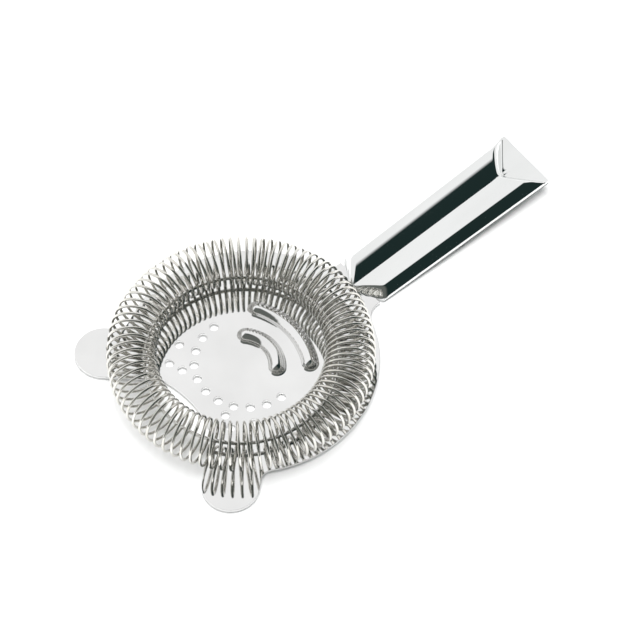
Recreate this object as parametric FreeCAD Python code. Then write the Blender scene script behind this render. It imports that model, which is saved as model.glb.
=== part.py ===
import FreeCAD, Part
import math
import os

# Hawthorne strainer.  Origin: centre of the round plate, on its underside.
# +X runs along the handle, +Z is up through the plate to the spring side.
# All lengths in millimetres, all angles in degrees.

# plate
plate_t = 1.2            # sheet thickness
plate_r = 42.8           # round edge under the spring
neck_half_w = 10.2       # half width of the tongue the handle is welded to
neck_end_x = 47.0        # where the handle's sheet starts
neck_fillet_r = 6.0
ear_angle = 43.8         # each ear, measured from the front (-X) direction
ear_centre_r = 48.2      # distance of the ear's rounded end centre
ear_r = 9.5              # half width and end radius of an ear
ear_fillet_r = 4.0       # outer root of the ear
front_cut_x = -24.7      # bottom of the pouring notch
front_cut_r = 40.0       # slight hollow of that cut
front_corner_r = 3.0

# drain holes
hole_d = 3.0
hole_ring_r = 17.6
hole_ring_x = -0.8
hole_count = 11
hole_step = 18.0
outer_holes = ((-19.2, 11.3), (-20.8, 16.1), (-13.8, 19.6))

# pressed ridges: crest towards +Z, groove underneath
ridge_half_w = 2.45      # also the crest's height above the top face
ridge_wall = 0.9
ridge_foot_r = 1.0       # blend from the ridge into the flat of the plate
ridges = ((-10.4, 28.2, 29.0), (-4.0, 12.1, 42.0))   # arc centre x, radius, half angle

# spring coil: one wire wound round a ring, rests on the plate
coil_x = -3.3            # centre of the ring at rest
coil_ring_r = 35.9       # ring through the middle of the turns
coil_tube_r = 7.9        # wire centre to that ring
wire_d = 1.0
coil_turns = 90
coil_crowding = 0.12     # turns sit closer on the handle side
coil_sectors = 15
coil_gap = 0.05          # running clearance over the plate
coil_travel = 0.5        # free float towards the handle

# retaining band inside the coil and its lugs
band_r = 32.0
band_t = 0.7
band_z0 = 4.25
band_z1 = 5.75
lug_w = 0.35
lug_angles = (8.0, -8.0, 145.0, -145.0)   # wanted places, from the handle

# handle: sheet folded up along both sides and rolled in to a centre seam
grip_end_x = 118.8
grip_half_w0 = 10.2      # at the neck
grip_half_w1 = 11.6      # at the far end
grip_wall = 1.0
grip_h0 = 3.9            # crest height at the neck
grip_h1 = 4.3            # crest height at the far end
seam_z0 = 2.9            # seam valley height at the neck
seam_z1 = 2.9
seam_gap = 0.16
neck_tip_x = 41.6        # foot of the neck end walls on the centre line
neck_side_x = 49.6       # and at the sides
far_tip_x = 108.2        # foot of the far end walls on the centre line
far_side_x = 117.9       # and at the sides
neck_rake = 50.0         # slope of the end walls
far_rake = 56.0
corner_r = 0.8
grip_lift = 3.3          # the handle rises towards the spring side, from the neck

os.makedirs("parts", exist_ok=True)
V = FreeCAD.Vector
UP = V(0, 0, 1)


def save(name, shape):
    shape.exportStep(os.path.join("parts", name + ".step"))


def cyl(r, h, x=0.0, y=0.0, z=0.0):
    return Part.makeCylinder(r, h, V(x, y, z), UP)


def prism(points, z0, z1):
    loop = [V(x, y, z0) for x, y in points]
    return Part.Face(Part.makePolygon(loop + loop[:1])).extrude(V(0, 0, z1 - z0))


def polar(r, a, x=0.0):
    return x + r * math.cos(math.radians(a)), r * math.sin(math.radians(a))


def root_web(angle, side, half_w, r):
    """Sheet added in the corner between the round edge and a straight flank,
    hollowed by the root fillet."""
    c = plate_r + r
    b = half_w + r
    a = math.sqrt(c * c - b * b)
    k = plate_r / c
    ca, sa = math.cos(math.radians(angle)), math.sin(math.radians(angle))

    def at(u, v):
        return u * ca - v * side * sa, u * sa + v * side * ca

    web = prism([at(a * k, b * k), at(a, b), at(a, half_w), at(a * k - 4, half_w - 3)], 0, plate_t)
    fx, fy = at(a, b)
    return web.cut(cyl(r, plate_t, fx, fy))


# ---------------------------------------------------------------- plate
def make_plate():
    body = cyl(plate_r, plate_t)
    body = body.fuse(prism([(0, -neck_half_w), (neck_end_x, -neck_half_w),
                            (neck_end_x, neck_half_w), (0, neck_half_w)], 0, plate_t))
    for side in (1, -1):
        body = body.fuse(root_web(0.0, side, neck_half_w, neck_fillet_r))
        a = 180.0 - side * ear_angle
        ux, uy = polar(1.0, a)
        nx, ny = side * uy, -side * ux            # towards the outer flank
        cx, cy = ear_centre_r * ux, ear_centre_r * uy
        body = body.fuse(prism([(nx * ear_r, ny * ear_r), (cx + nx * ear_r, cy + ny * ear_r),
                                (cx - nx * ear_r, cy - ny * ear_r), (-nx * ear_r, -ny * ear_r)],
                               0, plate_t))
        body = body.fuse(cyl(ear_r, plate_t, cx, cy))
        body = body.fuse(root_web(a, -side, ear_r, ear_fillet_r))
    # pouring notch between the ears: straight inner flanks, slightly hollow bottom
    # a flank runs along (-cos, sin) of the ear's angle, ear_r in front of its axis
    ca, sa = math.cos(math.radians(ear_angle)), math.sin(math.radians(ear_angle))
    px, py = -ear_r * sa, -ear_r * ca
    hx = front_cut_x - front_cut_r
    along = (px - hx) * ca - py * sa
    reach = along - math.sqrt(along ** 2 - (px - hx) ** 2 - py ** 2 + front_cut_r ** 2)
    x_c, y_c = px - reach * ca, py + reach * sa
    fx, fy = px - 110.0 * ca, py + 110.0 * sa
    body = body.cut(prism([(x_c, y_c), (fx, fy), (fx, -fy), (x_c, -y_c)], -1, plate_t + 1))
    slab = Part.makeBox(front_cut_x - x_c + 1.0, 2 * y_c, plate_t + 2, V(x_c - 0.2, -y_c, -1))
    body = body.cut(cyl(front_cut_r, plate_t + 2, hx, 0, -1).common(slab))
    body = body.removeSplitter()
    corners = [e for e in body.Edges
               if abs(e.BoundBox.XLength) < 1e-3 and abs(e.BoundBox.YLength) < 1e-3
               and abs(e.BoundBox.Center.x - x_c) < 0.3 and abs(abs(e.BoundBox.Center.y) - y_c) < 0.3]
    if corners:
        body = body.makeFillet(front_corner_r, corners)
    # drain holes
    for i in range(hole_count):
        x, y = polar(hole_ring_r, 180.0 + (i - (hole_count - 1) / 2.0) * hole_step, hole_ring_x)
        body = body.cut(cyl(hole_d / 2, plate_t + 2, x, y, -1))
    for x, y in outer_holes:
        for side in (1, -1):
            body = body.cut(cyl(hole_d / 2, plate_t + 2, x, side * y, -1))
    # pressed ridges
    for cx, r, half in ridges:
        body = body.fuse(rounded_arc(cx, r, half, ridge_half_w, plate_t - 0.4))
    body = body.removeSplitter()
    feet = [e for e in body.Edges if on_foot(e)]
    body = body.makeFillet(ridge_foot_r, feet)
    for cx, r, half in ridges:
        body = body.cut(rounded_arc(cx, r, half, ridge_half_w - ridge_wall, -1.0))
    return body.removeSplitter()


def on_foot(edge):
    """True for an edge where a ridge meets the plate's top face."""
    for i in range(5):
        p = edge.valueAt(edge.FirstParameter + (edge.LastParameter - edge.FirstParameter) * i / 4)
        near = 1e9
        for cx, r, half in ridges:
            a = math.degrees(math.atan2(p.y, p.x - cx))
            a = math.radians(max(-half, min(half, a)))
            q = V(cx + r * math.cos(a), r * math.sin(a), p.z)
            near = min(near, abs(q.distanceToPoint(p) - ridge_half_w))
        if abs(p.z - plate_t) > 1e-4 or near > 1e-3:
            return False
    return True


def rounded_arc(cx, r, half, w, z0):
    """Round-topped bar bent to an arc, with round ends, standing on z0."""
    def profile(x0, whole):
        top = V(x0, 0, plate_t + w)
        right = V(x0 + w, 0, plate_t)
        edges = []
        if whole:
            left = V(x0 - w, 0, plate_t)
            edges.append(Part.Arc(left, top, right).toShape())
            edges.append(Part.makeLine(right, V(x0 + w, 0, z0)))
            edges.append(Part.makeLine(V(x0 + w, 0, z0), V(x0 - w, 0, z0)))
            edges.append(Part.makeLine(V(x0 - w, 0, z0), left))
        else:
            k = w * math.sqrt(0.5)
            edges.append(Part.Arc(top, V(x0 + k, 0, plate_t + k), right).toShape())
            edges.append(Part.makeLine(right, V(x0 + w, 0, z0)))
            edges.append(Part.makeLine(V(x0 + w, 0, z0), V(x0, 0, z0)))
            edges.append(Part.makeLine(V(x0, 0, z0), top))
        return Part.Face(Part.Wire(edges))

    bar = profile(cx + r, True)
    bar.rotate(V(cx, 0, 0), UP, -half)
    bar = bar.revolve(V(cx, 0, 0), UP, 2 * half)
    for s in (1, -1):
        x, y = polar(r, s * half, cx)
        cap = profile(0.0, False).revolve(V(0, 0, 0), UP, 360)
        cap.translate(V(x, y, 0))
        bar = bar.fuse(cap)
    return bar


# ---------------------------------------------------------------- spring coil
def turn_angle(u):
    """Angle from the handle direction after u turns of the wire."""
    a = 2 * math.pi * u / coil_turns
    return a - coil_crowding * math.sin(a)


def coil_point(u, out):
    a = turn_angle(u)
    r = coil_ring_r + (coil_tube_r if out else -coil_tube_r)
    return V(coil_x + r * math.cos(a), r * math.sin(a), coil_z)


def half_height(u):
    return coil_point(u, False).distanceToPoint(coil_point(u + 0.5, True)) / 2


coil_z = 0.0
coil_z = plate_t + coil_gap + wire_d / 2 + max(half_height(k) for k in range(coil_turns))


def make_coil_sector(first, last):
    edges = []
    for k in range(first, last):
        p, q, n = coil_point(k, False), coil_point(k + 0.5, True), coil_point(k + 1, False)
        for a, b, up in ((p, q, 1), (q, n, -1)):
            mid = (a + b) * 0.5
            edges.append(Part.Arc(a, mid + V(0, 0, up * a.distanceToPoint(b) / 2), b).toShape())
    start = coil_point(first, False)
    ring = Part.Wire(Part.makeCircle(wire_d / 2, start, UP))
    return Part.Wire(edges).makePipeShell([ring], True, True)


def make_coil():
    step = coil_turns // coil_sectors
    return Part.makeCompound([make_coil_sector(i * step, (i + 1) * step) for i in range(coil_sectors)])


# ---------------------------------------------------------------- band and lugs
def make_band():
    h = band_z1 - band_z0
    return cyl(band_r + band_t / 2, h, coil_x, 0, band_z0).cut(
        cyl(band_r - band_t / 2, h, coil_x, 0, band_z0))


def lug_angle(wanted):
    """Middle of the nearest gap between turns, at half of the coil's travel."""
    best = None
    under = (1 - (band_r - coil_ring_r) / coil_tube_r) / 4     # of a turn, after the outer point
    for k in range(coil_turns):
        a = math.degrees(turn_angle(k + 0.5 + under + 0.5))
        a = (a + 180.0) % 360.0 - 180.0
        if best is None or abs(a - wanted) < abs(best - wanted):
            best = a
    shift = coil_travel / 2 * math.sin(math.radians(best)) / band_r
    return best - math.degrees(shift)


def make_lugs():
    lugs = []
    for wanted in lug_angles:
        box = Part.makeBox(band_t, lug_w, band_z0 - plate_t, V(band_r - band_t / 2, -lug_w / 2, plate_t))
        box.rotate(V(0, 0, 0), UP, lug_angle(wanted))
        box.translate(V(coil_x, 0, 0))
        lugs.append(box)
    return Part.makeCompound(lugs)


# ---------------------------------------------------------------- handle
def lobe_points(w, h, zs, wall):
    """Half section of the folded sheet, from the seam over the crest to the fold."""
    rise = h - zs
    pts = [(0.0, zs), (0.10 * w, zs + 0.25 * rise), (0.25 * w, zs + 0.58 * rise),
           (0.45 * w, zs + 0.87 * rise), (0.63 * w, h), (0.75 * w, 0.985 * h),
           (0.84 * w, 0.89 * h), (0.91 * w, 0.68 * h), (0.96 * w, 0.42 * h), (w, 0.16 * h),
           (0.99 * w, 0.03 * h), (0.96 * w, 0.0)]
    if wall <= 0:
        return pts
    inner = []
    for i, (y, z) in enumerate(pts):
        y0, z0 = pts[max(i - 1, 0)]
        y1, z1 = pts[min(i + 1, len(pts) - 1)]
        ty, tz = y1 - y0, z1 - z0
        n = math.hypot(ty, tz)
        inner.append((y + wall * tz / n, z - wall * ty / n))
    inner[0] = (0.0, inner[0][1])
    return [p for p in inner if p[1] > wall * 1.2 + 0.35] + [(w - wall - 0.25, wall * 1.2)]


def section(x, wall):
    t = (x - neck_tip_x) / (grip_end_x - neck_tip_x)
    w = grip_half_w0 + t * (grip_half_w1 - grip_half_w0)
    h = grip_h0 + t * (grip_h1 - grip_h0)
    zs = seam_z0 + t * (seam_z1 - seam_z0)
    pts = lobe_points(w, h, zs, wall)
    edges = []
    for s in (1, -1):
        curve = Part.BSplineCurve()
        curve.interpolate([V(x, s * y, z) for y, z in pts])
        edges.append(curve.toShape())
    (y0, z0) = pts[-1]
    edges.append(Part.makeLine(V(x, y0, z0), V(x, -y0, z0)))
    return Part.Wire(Part.__sortEdges__(edges))


def folded_form(x0, x1, wall):
    return Part.makeLoft([section(x0, wall), section(x1, wall)], True, True)


def trim_end(body, side, tip, edge, half_w, rake, sign, inset):
    """Slope the end of one lobe: its wall's foot runs from tip to edge."""
    p = V(tip, 0, plate_t)
    d = V(edge - tip, side * half_w, 0)
    d.normalize()
    out = V(abs(d.y), -side * d.x, 0) if sign > 0 else V(-abs(d.y), side * d.x, 0)
    a = math.radians(rake)
    n = V(out.x * math.sin(a), out.y * math.sin(a), math.cos(a))
    p = p - n * inset
    block = Part.makeBox(60, 60, 30, V(-30, -30, 0))
    block.Placement = FreeCAD.Placement(p, FreeCAD.Rotation(UP, n))
    return body.cut(block)


def half_form(side, wall, inset):
    body = folded_form(neck_tip_x - 3.0, grip_end_x + 3.0, wall)
    keep = Part.makeBox(200, 40, 40, V(0, 0 if side > 0 else -40, -10))
    body = body.common(keep)
    body = trim_end(body, side, far_tip_x, far_side_x, grip_half_w1, far_rake, 1, inset)
    return trim_end(body, side, neck_tip_x, neck_side_x, grip_half_w0, neck_rake, -1, inset)


def make_handle():
    def half_w(x):
        t = (x - neck_tip_x) / (grip_end_x - neck_tip_x)
        return (grip_half_w0 + t * (grip_half_w1 - grip_half_w0)) * 0.995

    x0 = neck_end_x - 1.0
    sheet = prism([(x0, -half_w(x0) * 0.96), (grip_end_x, -half_w(grip_end_x)),
                   (grip_end_x, half_w(grip_end_x)), (x0, half_w(x0) * 0.96)], 0, plate_t)
    far = [e for e in sheet.Edges if abs(e.BoundBox.XLength) < 1e-3 and abs(e.BoundBox.YLength) < 1e-3
           and e.BoundBox.Center.x > grip_end_x - 0.1]
    sheet = sheet.makeFillet(corner_r, far)
    outer = half_form(1, 0.0, 0.0).fuse(half_form(-1, 0.0, 0.0))
    body = outer.fuse(sheet)
    for side in (1, -1):
        body = body.cut(half_form(side, grip_wall, grip_wall))
    slit = Part.makeBox(60, seam_gap, 6, V(47.0, -seam_gap / 2, plate_t + 0.8))
    body = body.cut(slit)
    body.rotate(V(neck_end_x, 0, 0), V(0, 1, 0), -grip_lift)
    return body.cut(Part.makeBox(neck_end_x - 30, 60, plate_t + 5, V(30, -30, -5)))


save("perforated_plate", make_plate())
save("handle", make_handle())
save("retaining_band", make_band())
save("band_lugs", make_lugs())
save("spring_coil", make_coil())
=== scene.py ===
import bpy
import math
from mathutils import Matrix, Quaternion, Vector


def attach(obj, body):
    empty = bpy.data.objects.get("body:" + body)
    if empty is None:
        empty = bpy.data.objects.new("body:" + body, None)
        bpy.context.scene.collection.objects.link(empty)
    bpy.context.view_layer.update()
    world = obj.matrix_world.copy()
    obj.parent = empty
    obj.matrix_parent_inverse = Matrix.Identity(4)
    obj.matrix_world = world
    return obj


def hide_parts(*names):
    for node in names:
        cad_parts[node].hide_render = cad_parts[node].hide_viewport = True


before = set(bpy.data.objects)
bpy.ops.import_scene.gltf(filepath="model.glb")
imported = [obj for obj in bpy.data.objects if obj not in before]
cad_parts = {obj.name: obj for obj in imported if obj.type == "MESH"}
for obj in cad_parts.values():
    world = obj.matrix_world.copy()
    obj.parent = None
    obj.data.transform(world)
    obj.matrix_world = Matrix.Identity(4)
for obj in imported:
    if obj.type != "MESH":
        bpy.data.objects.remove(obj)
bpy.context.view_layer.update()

MM = 0.001

# ------------------------------------------------------------ workshop sizes, mm
SHEET = 1.2
WELD, FINE_WELD = 0.004, 0.002

# The spring: a ring of wire turns, set closer together on the handle's side
COIL_X, COIL_RING, COIL_TUBE, WIRE = -3.3, 35.9, 7.9, 1.0
COIL_INNER, COIL_OUTER = COIL_RING - COIL_TUBE, COIL_RING + COIL_TUBE
COIL_GAP = 0.05
TURNS, CROWDING, STEPS = 90, 0.12, 30

BAND_R, BAND_T, BAND_Z0, BAND_Z1 = 32.0, 0.7, 4.25, 5.75

# The handle: half widths and heights at the neck (0) and at the end (1), then the middle
# seam, which fades out near both end walls
GRIP_W0, GRIP_W1 = 10.2, 11.6
GRIP_H0, GRIP_H1 = 3.9, 4.3
SEAM_Z, SEAM_DEPTH, SEAM_FADE = 2.9, 0.9, 2.5
SEAM_FROM_NECK, SEAM_FROM_FAR = 2.0, 2.5

# Its end walls: each is a V in plan with its tip on the middle line and its sides at the
# edges, leaning back by its rake in degrees
NECK_TIP, NECK_SIDE, NECK_RAKE = 41.6, 49.6, 50.0
FAR_TIP, FAR_SIDE, FAR_RAKE = 108.2, 117.9, 56.0
TIP_BLEND, FOOT_BLEND, HIP_BLEND = 1.0, 0.7, 1.3
END_X, CORNER, END_ROUND = 118.79, 0.8, 0.4

# The handle's mesh: rows along it, with shares of them before and past the walls
ALONG, ACROSS = 240, 160
APRON, APRON_ROWS, BODY_ROWS, ROW_CROWDING = 0.9, 0.04, 0.95, 0.12

# The tongue ends where the handle leaves the plate and turns up by the lift
TONGUE_END, LIFT = 47.0, math.radians(3.3)
SINK, TONGUE_SLACK = 0.02, 0.1


# ------------------------------------------------------------ bench tools
def clear_selection():
    bpy.ops.object.select_all(action="DESELECT")


def pick(obj):
    clear_selection()
    obj.select_set(True)
    bpy.context.view_layer.objects.active = obj


def named(name):
    obj = bpy.context.object
    obj.name = name
    obj.data.name = name
    return obj


def apply_modifiers(obj):
    pick(obj)
    for m in list(obj.modifiers):
        bpy.ops.object.modifier_apply(modifier=m.name)


def settle(obj):
    """Puts the piece's place into its mesh."""
    pick(obj)
    bpy.ops.object.transform_apply(location=True, rotation=True, scale=True)


def open_welded(obj, gap):
    """Opens the mesh for editing with points closer than the gap joined."""
    pick(obj)
    bpy.ops.object.mode_set(mode="EDIT")
    bpy.ops.mesh.select_all(action="SELECT")
    bpy.ops.mesh.remove_doubles(threshold=gap * MM)


def close_mesh():
    bpy.ops.object.mode_set(mode="OBJECT")


def smooth(obj, angle):
    pick(obj)
    bpy.ops.object.shade_smooth_by_angle(angle=math.radians(angle))


def break_edges(obj, width, segments, angle):
    """Takes the sharpness off cut edges, as tumbling does."""
    m = obj.modifiers.new("broken_edges", "BEVEL")
    m.width = width * MM
    m.segments = segments
    m.limit_method = "ANGLE"
    m.angle_limit = math.radians(angle)
    apply_modifiers(obj)


def level_faces(obj):
    """Keeps the broad flat faces flat to the eye; the small ones take up the turn."""
    m = obj.modifiers.new("level_faces", "WEIGHTED_NORMAL")
    m.mode = "FACE_AREA"
    m.weight = 100
    m.keep_sharp = True
    apply_modifiers(obj)


def merged_copy(node, name):
    """A copy of a workshop piece with its triangles merged back into flat faces."""
    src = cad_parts[node]
    obj = src.copy()
    obj.data = src.data.copy()
    obj.animation_data_clear()
    bpy.context.scene.collection.objects.link(obj)
    obj.parent = None
    obj.name = name
    obj.data.name = name
    open_welded(obj, FINE_WELD)
    bpy.ops.mesh.dissolve_limited(angle_limit=math.radians(0.2))
    close_mesh()
    return obj


# ------------------------------------------------------------ node tools
def two_stop_ramp(tree, value, low, high):
    """Colours a value; low and high are pairs of a place on the ramp and a colour."""
    node = tree.nodes.new("ShaderNodeValToRGB")
    for i, (place, colour) in enumerate((low, high)):
        node.color_ramp.elements[i].position = place
        node.color_ramp.elements[i].color = (*colour, 1)
    tree.links.new(value, node.inputs["Fac"])
    return node.outputs["Color"]


def spread(tree, value, start, stop):
    """0 below start, 1 above stop and even in between."""
    node = tree.nodes.new("ShaderNodeMapRange")
    node.inputs["From Min"].default_value = start
    node.inputs["From Max"].default_value = stop
    tree.links.new(value, node.inputs["Value"])
    return node.outputs["Result"]


def facing(tree, direction):
    """How squarely a ray points in a direction, from 1 down to -1."""
    where = tree.nodes.new("ShaderNodeTexCoord")
    node = tree.nodes.new("ShaderNodeVectorMath")
    node.operation = "DOT_PRODUCT"
    node.inputs[1].default_value = direction
    tree.links.new(where.outputs["Generated"], node.inputs[0])
    return node.outputs["Value"]


def blend(tree, factor, first, second):
    """Mixes two colours; the first may also be another node's output."""
    node = tree.nodes.new("ShaderNodeMix")
    node.data_type = "RGBA"
    tree.links.new(factor, node.inputs["Factor"])
    if isinstance(first, tuple):
        node.inputs["A"].default_value = (*first, 1)
    else:
        tree.links.new(first, node.inputs["A"])
    node.inputs["B"].default_value = (*second, 1)
    return node.outputs["Result"]


# ------------------------------------------------------------ finishes
SMUDGE_LOW, SMUDGE_HIGH = 0.35, 0.75
TONE_LOW, TONE_HIGH = 0.35, 0.65
RELIEF = 0.05 * MM


def steel_finish_group():
    """Fine polishing marks, faint smudges and the slight wave of pressed sheet."""
    g = bpy.data.node_groups.new("polished_surface", "ShaderNodeTree")
    for name in ("Mark Scale", "Mark Depth", "Smudge Scale", "Roughness Low", "Roughness High",
                 "Wave Scale", "Wave Depth"):
        g.interface.new_socket(name, in_out="INPUT", socket_type="NodeSocketFloat")
    g.interface.new_socket("Vector", in_out="INPUT", socket_type="NodeSocketVector")
    for name in ("Roughness", "Tone", "Height"):
        g.interface.new_socket(name, in_out="OUTPUT", socket_type="NodeSocketFloat")
    n, link = g.nodes, g.links.new
    gin, gout = n.new("NodeGroupInput"), n.new("NodeGroupOutput")

    def noise(scale, detail):
        node = n.new("ShaderNodeTexNoise")
        node.inputs["Detail"].default_value = detail
        link(gin.outputs["Vector"], node.inputs["Vector"])
        link(gin.outputs[scale], node.inputs["Scale"])
        return node.outputs["Fac"]

    smudge = noise("Smudge Scale", 3.0)
    mark = noise("Mark Scale", 2.0)
    wave = noise("Wave Scale", 0.0)
    rough = n.new("ShaderNodeMapRange")
    rough.inputs["From Min"].default_value = SMUDGE_LOW
    rough.inputs["From Max"].default_value = SMUDGE_HIGH
    link(smudge, rough.inputs["Value"])
    link(gin.outputs["Roughness Low"], rough.inputs["To Min"])
    link(gin.outputs["Roughness High"], rough.inputs["To Max"])
    link(rough.outputs["Result"], gout.inputs["Roughness"])
    link(smudge, gout.inputs["Tone"])
    fine = n.new("ShaderNodeMath")
    fine.operation = "MULTIPLY"
    link(mark, fine.inputs[0])
    link(gin.outputs["Mark Depth"], fine.inputs[1])
    broad = n.new("ShaderNodeMath")
    broad.operation = "MULTIPLY_ADD"
    link(wave, broad.inputs[0])
    link(gin.outputs["Wave Depth"], broad.inputs[1])
    link(fine.outputs[0], broad.inputs[2])
    link(broad.outputs[0], gout.inputs["Height"])
    return g


POLISH = steel_finish_group()


def steel(name, light, dark, stretch, bump, **values):
    """A bright steel whose tone wanders between two greys; values set the surface group."""
    m = bpy.data.materials.new(name)
    m.use_nodes = True
    n, link = m.node_tree.nodes, m.node_tree.links.new
    shader = n["Principled BSDF"]
    shader.inputs["Metallic"].default_value = 1.0
    where = n.new("ShaderNodeTexCoord")
    mapping = n.new("ShaderNodeMapping")
    mapping.inputs["Scale"].default_value = stretch
    link(where.outputs["Object"], mapping.inputs["Vector"])
    surface = n.new("ShaderNodeGroup")
    surface.node_tree = POLISH
    link(mapping.outputs["Vector"], surface.inputs["Vector"])
    for key, value in values.items():
        surface.inputs[key.replace("_", " ")].default_value = value
    link(surface.outputs["Roughness"], shader.inputs["Roughness"])
    tone = two_stop_ramp(m.node_tree, surface.outputs["Tone"], (TONE_LOW, dark), (TONE_HIGH, light))
    link(tone, shader.inputs["Base Color"])
    relief = n.new("ShaderNodeBump")
    relief.inputs["Strength"].default_value = bump
    relief.inputs["Distance"].default_value = RELIEF
    link(surface.outputs["Height"], relief.inputs["Height"])
    link(relief.outputs["Normal"], shader.inputs["Normal"])
    return m


plate_steel = steel("mirror_sheet_steel", (0.86, 0.86, 0.855), (0.80, 0.80, 0.795), (1, 1, 1),
                    bump=0.12, Mark_Scale=1400.0, Mark_Depth=0.06, Smudge_Scale=45.0,
                    Roughness_Low=0.035, Roughness_High=0.075, Wave_Scale=60.0, Wave_Depth=0.5)
handle_steel = steel("mirror_handle_steel", (0.86, 0.87, 0.865), (0.80, 0.81, 0.805), (0.35, 1, 1),
                     bump=0.10, Mark_Scale=1200.0, Mark_Depth=0.05, Smudge_Scale=60.0,
                     Roughness_Low=0.025, Roughness_High=0.06, Wave_Scale=45.0, Wave_Depth=0.4)
band_steel = steel("polished_strip_steel", (0.76, 0.755, 0.73), (0.66, 0.655, 0.63), (1, 1, 4),
                   bump=0.15, Mark_Scale=1600.0, Mark_Depth=0.15, Smudge_Scale=120.0,
                   Roughness_Low=0.08, Roughness_High=0.16, Wave_Scale=150.0, Wave_Depth=0.2)
wire_steel = steel("drawn_wire_steel", (0.82, 0.81, 0.775), (0.70, 0.685, 0.64), (1, 1, 1),
                   bump=0.15, Mark_Scale=2500.0, Mark_Depth=0.15, Smudge_Scale=260.0,
                   Roughness_Low=0.06, Roughness_High=0.14, Wave_Scale=400.0, Wave_Depth=0.15)


def finish_with(obj, material):
    obj.data.materials.clear()
    obj.data.materials.append(material)


# ------------------------------------------------------------ plate
def make_plate():
    plate = merged_copy("perforated_plate", "strainer_plate")
    break_edges(plate, width=0.12, segments=2, angle=40.0)
    smooth(plate, 32.0)
    level_faces(plate)
    finish_with(plate, plate_steel)
    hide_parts("perforated_plate")
    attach(plate, "frame")


# ------------------------------------------------------------ spring
def turn_angle(u):
    """Where round the ring the wire is after u turns."""
    a = 2 * math.pi * u / TURNS
    return a - CROWDING * math.sin(a)


def on_ring(radius, u):
    a = turn_angle(u)
    return radius * math.cos(a), radius * math.sin(a)


def wrap_wire(u, height):
    """A point of the wire's middle line, u turns along the spring."""
    whole = math.floor(u)
    t = u - whole
    if t < 0.5:
        start, end, s, up = on_ring(COIL_INNER, whole), on_ring(COIL_OUTER, whole + 0.5), t * 2, 1
    else:
        start, end, s, up = on_ring(COIL_OUTER, whole + 0.5), on_ring(COIL_INNER, whole + 1), t * 2 - 1, -1
    p, q = Vector(start), Vector(end)
    k = (1 - math.cos(math.pi * s)) / 2
    xy = p.lerp(q, k)
    z = height + up * math.sin(math.pi * s) * (q - p).length / 2
    return Vector((COIL_X + xy.x, xy.y, z)) * MM


def make_spring():
    tallest = max(math.dist(on_ring(COIL_INNER, k), on_ring(COIL_OUTER, k + 0.5)) / 2
                  for k in range(TURNS))
    height = SHEET + COIL_GAP + WIRE / 2 + tallest
    clear_selection()
    bpy.ops.mesh.primitive_circle_add(vertices=TURNS * STEPS, radius=COIL_RING * MM, fill_type="NOTHING")
    coil = named("spring_coil_wire")
    for i, v in enumerate(coil.data.vertices):
        v.co = wrap_wire(i / STEPS, height)
    pick(coil)
    bpy.ops.object.convert(target="CURVE")
    coil = bpy.context.object
    coil.data.twist_mode = "MINIMUM"
    coil.data.bevel_depth = WIRE / 2 * MM
    coil.data.bevel_resolution = 2
    pick(coil)
    bpy.ops.object.convert(target="MESH")
    coil = named("spring_coil_wire")
    open_welded(coil, FINE_WELD)
    bpy.ops.mesh.normals_make_consistent(inside=False)
    close_mesh()
    smooth(coil, 70.0)
    finish_with(coil, wire_steel)
    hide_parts("spring_coil")
    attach(coil, "coil")


# ------------------------------------------------------------ band and lugs
def make_band():
    clear_selection()
    bpy.ops.mesh.primitive_cylinder_add(vertices=192, radius=BAND_R * MM, depth=(BAND_Z1 - BAND_Z0) * MM,
                                        end_fill_type="NOTHING",
                                        location=(COIL_X * MM, 0, (BAND_Z0 + BAND_Z1) / 2 * MM))
    band = named("spring_band")
    settle(band)
    m = band.modifiers.new("strip_thickness", "SOLIDIFY")
    m.thickness = BAND_T * MM
    m.offset = 0.0
    apply_modifiers(band)
    break_edges(band, width=0.12, segments=2, angle=50.0)
    smooth(band, 40.0)
    finish_with(band, band_steel)
    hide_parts("retaining_band")
    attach(band, "frame")


def make_lugs():
    lugs = merged_copy("band_lugs", "band_lug_tabs")
    break_edges(lugs, width=0.06, segments=1, angle=50.0)
    smooth(lugs, 40.0)
    finish_with(lugs, band_steel)
    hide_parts("band_lugs")
    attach(lugs, "frame")


# ------------------------------------------------------------ handle
def ease(t):
    t = max(0.0, min(1.0, t))
    return t * t * (3 - 2 * t)


def soft_min(a, b, r):
    """The smaller of two heights, rounded off over r where they meet."""
    h = max(0.0, min(1.0, 0.5 + 0.5 * (b - a) / r))
    return b + (a - b) * h - r * h * (1 - h)


def lobe_line(w, h, zs, seam):
    """One half of the section: out of the seam, over the ridge, down the flank, back below."""
    rise = h - zs
    return [(0.0, zs - seam), (0.05, zs - 0.18 * seam), (0.10, zs - 0.02 * seam),
            (0.30, zs + 0.04 * rise), (0.10 * w, zs + 0.25 * rise), (0.25 * w, zs + 0.58 * rise),
            (0.45 * w, zs + 0.87 * rise), (0.63 * w, h),
            (0.73 * w, 0.99 * h), (0.80 * w, 0.93 * h), (0.87 * w, 0.765 * h), (0.935 * w, 0.53 * h),
            (w, 0.28 * h), (w, 0.09 * h), (0.97 * w, 0.0), (0.5 * w, 0.0), (0.0, 0.0)]


def spline_at(points, s):
    """Catmull-Rom through the section's points; s runs 0..1 over equal spans."""
    n = len(points) - 1
    f = min(s * n, n - 1e-9)
    i = int(f)
    t = f - i
    p = [points[max(0, min(n, i + k))] for k in (-1, 0, 1, 2)]
    out = []
    for a in (0, 1):
        p0, p1, p2, p3 = (q[a] for q in p)
        out.append(0.5 * (2 * p1 + (p2 - p0) * t + (2 * p0 - 5 * p1 + 4 * p2 - p3) * t * t
                          + (3 * p1 - p0 - 3 * p2 + p3) * t ** 3))
    return out


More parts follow.
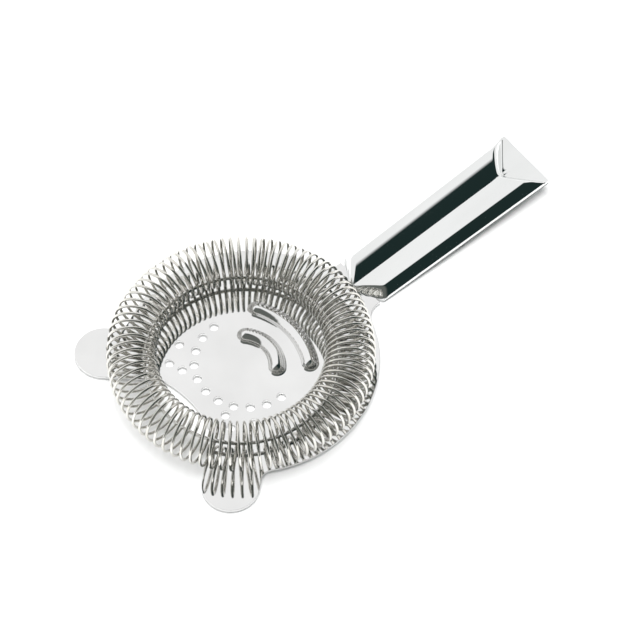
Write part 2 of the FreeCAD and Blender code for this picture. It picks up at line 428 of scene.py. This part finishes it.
def wall_height(x, y, tip, side_x, w, rake, facing_x):
    """Height of a leaning end wall above the sheet at a place in plan."""
    dx, dy = side_x - tip, w
    length = math.hypot(dx, dy)
    across = math.sqrt(y * y + TIP_BLEND ** 2) - TIP_BLEND / 2
    inside = facing_x * ((x - tip) * dy - across * dx) / length
    return inside * math.tan(math.radians(rake))


def row_place(t, y_share):
    """How far along the handle a row lies: before, between or past the end walls."""
    near = NECK_TIP + (NECK_SIDE - NECK_TIP) * y_share
    far = FAR_TIP + (FAR_SIDE - FAR_TIP) * y_share
    if t < APRON_ROWS:
        return near - APRON * (1 - t / APRON_ROWS)
    if t < BODY_ROWS:
        f = (t - APRON_ROWS) / (BODY_ROWS - APRON_ROWS)
        return near + (far - near) * (f - ROW_CROWDING * math.sin(2 * math.pi * f))
    f = (t - BODY_ROWS) / (1 - BODY_ROWS)
    return far + (END_X - far) * f * (2 - f)


def handle_point(t, q):
    """A point of the unlifted handle: t runs along it, q round one half of its section."""
    y_share = min(1.0, spline_at(lobe_line(1.0, 1.0, 0.0, 0.0), q)[0])
    x = row_place(t, y_share)
    k = (x - NECK_TIP) / (END_X - NECK_TIP)
    w = GRIP_W0 + k * (GRIP_W1 - GRIP_W0)
    h = GRIP_H0 + k * (GRIP_H1 - GRIP_H0)
    seam = SEAM_DEPTH * min(ease((FAR_TIP - SEAM_FROM_FAR - x) / SEAM_FADE),
                            ease((x - NECK_TIP - SEAM_FROM_NECK) / SEAM_FADE))
    y, z = spline_at(lobe_line(w, h, SEAM_Z, seam), q)
    up = z - SHEET
    if up > 0.0:
        for tip, side_x, wide, rake, facing_x in ((NECK_TIP, NECK_SIDE, GRIP_W0, NECK_RAKE, 1),
                                                  (FAR_TIP, FAR_SIDE, GRIP_W1, FAR_RAKE, -1)):
            wall = wall_height(x, y, tip, side_x, wide, rake, facing_x)
            foot = -soft_min(-wall, 0.0, FOOT_BLEND)
            up = max(0.0, min(up, soft_min(up, foot, HIP_BLEND)))
        z = SHEET + up
    past = x - (END_X - CORNER)
    if past > 0.0:
        y *= (w - CORNER + math.sqrt(max(0.0, CORNER ** 2 - past ** 2))) / w
    past = x - (END_X - END_ROUND)
    if past > 0.0 and z > SHEET / 2:
        z -= END_ROUND - math.sqrt(max(0.0, END_ROUND ** 2 - past ** 2))
    return x, y, z


def lifted(x, y, z):
    """Turns the handle up about the tongue's end; over the plate it rests on the sheet."""
    reach = x - TONGUE_END
    x = TONGUE_END + reach * math.cos(LIFT) - z * math.sin(LIFT)
    z = reach * math.sin(LIFT) + z * math.cos(LIFT)
    lowest = SHEET - SINK if x < TONGUE_END + TONGUE_SLACK else 0.0
    return Vector((x, y, max(z, lowest))) * MM


def make_handle():
    clear_selection()
    bpy.ops.mesh.primitive_grid_add(x_subdivisions=ALONG, y_subdivisions=ACROSS, size=1.0)
    grip = named("folded_handle")
    for v in grip.data.vertices:
        t, s = v.co.x + 0.5, v.co.y + 0.5
        side = 1 if s < 0.5 else -1
        x, y, z = handle_point(t, 2 * s if s < 0.5 else 2 * (1 - s))
        v.co = lifted(x, side * y, z)
    open_welded(grip, WELD)
    bpy.ops.mesh.select_all(action="DESELECT")
    bpy.ops.mesh.select_non_manifold(extend=False)
    bpy.ops.mesh.fill()
    bpy.ops.mesh.select_all(action="SELECT")
    bpy.ops.mesh.normals_make_consistent(inside=False)
    close_mesh()
    smooth(grip, 38.0)
    finish_with(grip, handle_steel)
    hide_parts("handle")
    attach(grip, "frame")


make_plate()
make_spring()
make_band()
make_lugs()
make_handle()


# ------------------------------------------------------------ floor, light and camera
FLOOR_SIZE, FLOOR_DROP = 6.0, 0.1 * MM
WHITE, BLACK = (1.0, 1.0, 1.0), (0.0, 0.0, 0.0)
ROOM_GREY, ROOM_GREEN = (0.13, 0.14, 0.13), (0.014, 0.027, 0.026)
BACKDROP = (0.92, 0.92, 0.92)
WALL_DARK, WALL_LIT = 0.60, 0.64
GREY_UP_TO, GREEN_FROM = -0.30, 0.15
CARD_DIRECTION = (0.98, -0.10, 0.15)
CARD_DARK, CARD_LIT = 0.88, 0.91
FILL_PLACE, FILL_SIZE, FILL_POWER = (0.2, 0.1, 1.6), 1.6, 42.0

CAM_AZ, CAM_EL = math.radians(-36.69), math.radians(57.91)
CAM_BACK = Vector((math.sin(CAM_AZ) * math.cos(CAM_EL), -math.cos(CAM_AZ) * math.cos(CAM_EL),
                   math.sin(CAM_EL)))
LOOK_AT = Vector((27.98, -2.22, 0.0)) * MM
CAM_DISTANCE, CAM_LENS, CAM_SENSOR = 3.0, 513.0, 36.0
CAM_LEAN = math.radians(-2.94)


def make_floor():
    clear_selection()
    bpy.ops.mesh.primitive_plane_add(size=FLOOR_SIZE, location=(0, 0, -FLOOR_DROP))
    floor = named("studio_floor")
    m = bpy.data.materials.new("pale_floor")
    m.use_nodes = True
    n, link = m.node_tree.nodes, m.node_tree.links.new
    shader = n["Principled BSDF"]
    where = n.new("ShaderNodeTexCoord")
    noise = n.new("ShaderNodeTexNoise")
    noise.inputs["Scale"].default_value = 3.0
    link(where.outputs["Object"], noise.inputs["Vector"])
    tone = two_stop_ramp(m.node_tree, noise.outputs["Fac"],
                         (0.0, (0.86, 0.86, 0.86)), (1.0, (0.88, 0.88, 0.88)))
    link(tone, shader.inputs["Base Color"])
    shader.inputs["Roughness"].default_value = 0.8
    shader.inputs["Specular IOR Level"].default_value = 0.2
    finish_with(floor, m)


def make_studio():
    """A white wall of light on the +Y side, a dim room on the other that turns dark green
    towards the handle's end, and a white card beyond that end."""
    world = bpy.data.worlds.new("studio")
    bpy.context.scene.world = world
    bpy.context.scene.view_settings.view_transform = "Standard"
    world.use_nodes = True
    tree = world.node_tree
    half = tree.nodes.new("ShaderNodeMath")
    half.operation = "MULTIPLY_ADD"
    half.inputs[1].default_value = 0.5
    half.inputs[2].default_value = 0.5
    tree.links.new(facing(tree, (0.0, 1.0, 0.0)), half.inputs[0])
    wall = two_stop_ramp(tree, half.outputs[0], (WALL_DARK, BLACK), (WALL_LIT, WHITE))
    greener = spread(tree, facing(tree, (1.0, 0.0, 0.0)), GREY_UP_TO, GREEN_FROM)
    room = blend(tree, greener, ROOM_GREY, ROOM_GREEN)
    walls = blend(tree, wall, room, WHITE)
    card = spread(tree, facing(tree, CARD_DIRECTION), CARD_DARK, CARD_LIT)
    with_card = blend(tree, card, walls, WHITE)
    path = tree.nodes.new("ShaderNodeLightPath")
    seen = blend(tree, path.outputs["Is Camera Ray"], with_card, BACKDROP)
    back = tree.nodes["Background"]
    tree.links.new(seen, back.inputs["Color"])
    back.inputs["Strength"].default_value = 1.0


def softbox(name, place, aim, size, power):
    clear_selection()
    bpy.ops.object.light_add(type="AREA", location=place)
    lamp = bpy.context.object
    lamp.name = name
    lamp.data.shape = "SQUARE"
    lamp.data.size = size
    lamp.data.energy = power
    lamp.rotation_mode = "QUATERNION"
    lamp.rotation_quaternion = (Vector(place) - Vector(aim)).to_track_quat("Z", "Y")
    return lamp


def make_camera():
    data = bpy.data.cameras.new("camera")
    cam = bpy.data.objects.new("camera", data)
    bpy.context.scene.collection.objects.link(cam)
    data.sensor_width = CAM_SENSOR
    data.lens = CAM_LENS
    data.clip_start, data.clip_end = 0.05, 20.0
    cam.rotation_mode = "QUATERNION"
    cam.location = LOOK_AT + CAM_BACK * CAM_DISTANCE
    lean = Quaternion((0, 0, 1), CAM_LEAN)
    cam.rotation_quaternion = CAM_BACK.to_track_quat("Z", "Y") @ lean
    bpy.context.scene.camera = cam


make_floor()
make_studio()
fill = softbox("overhead_fill", FILL_PLACE, (0, 0, 0), FILL_SIZE, FILL_POWER)
fill.visible_glossy = False
make_camera()
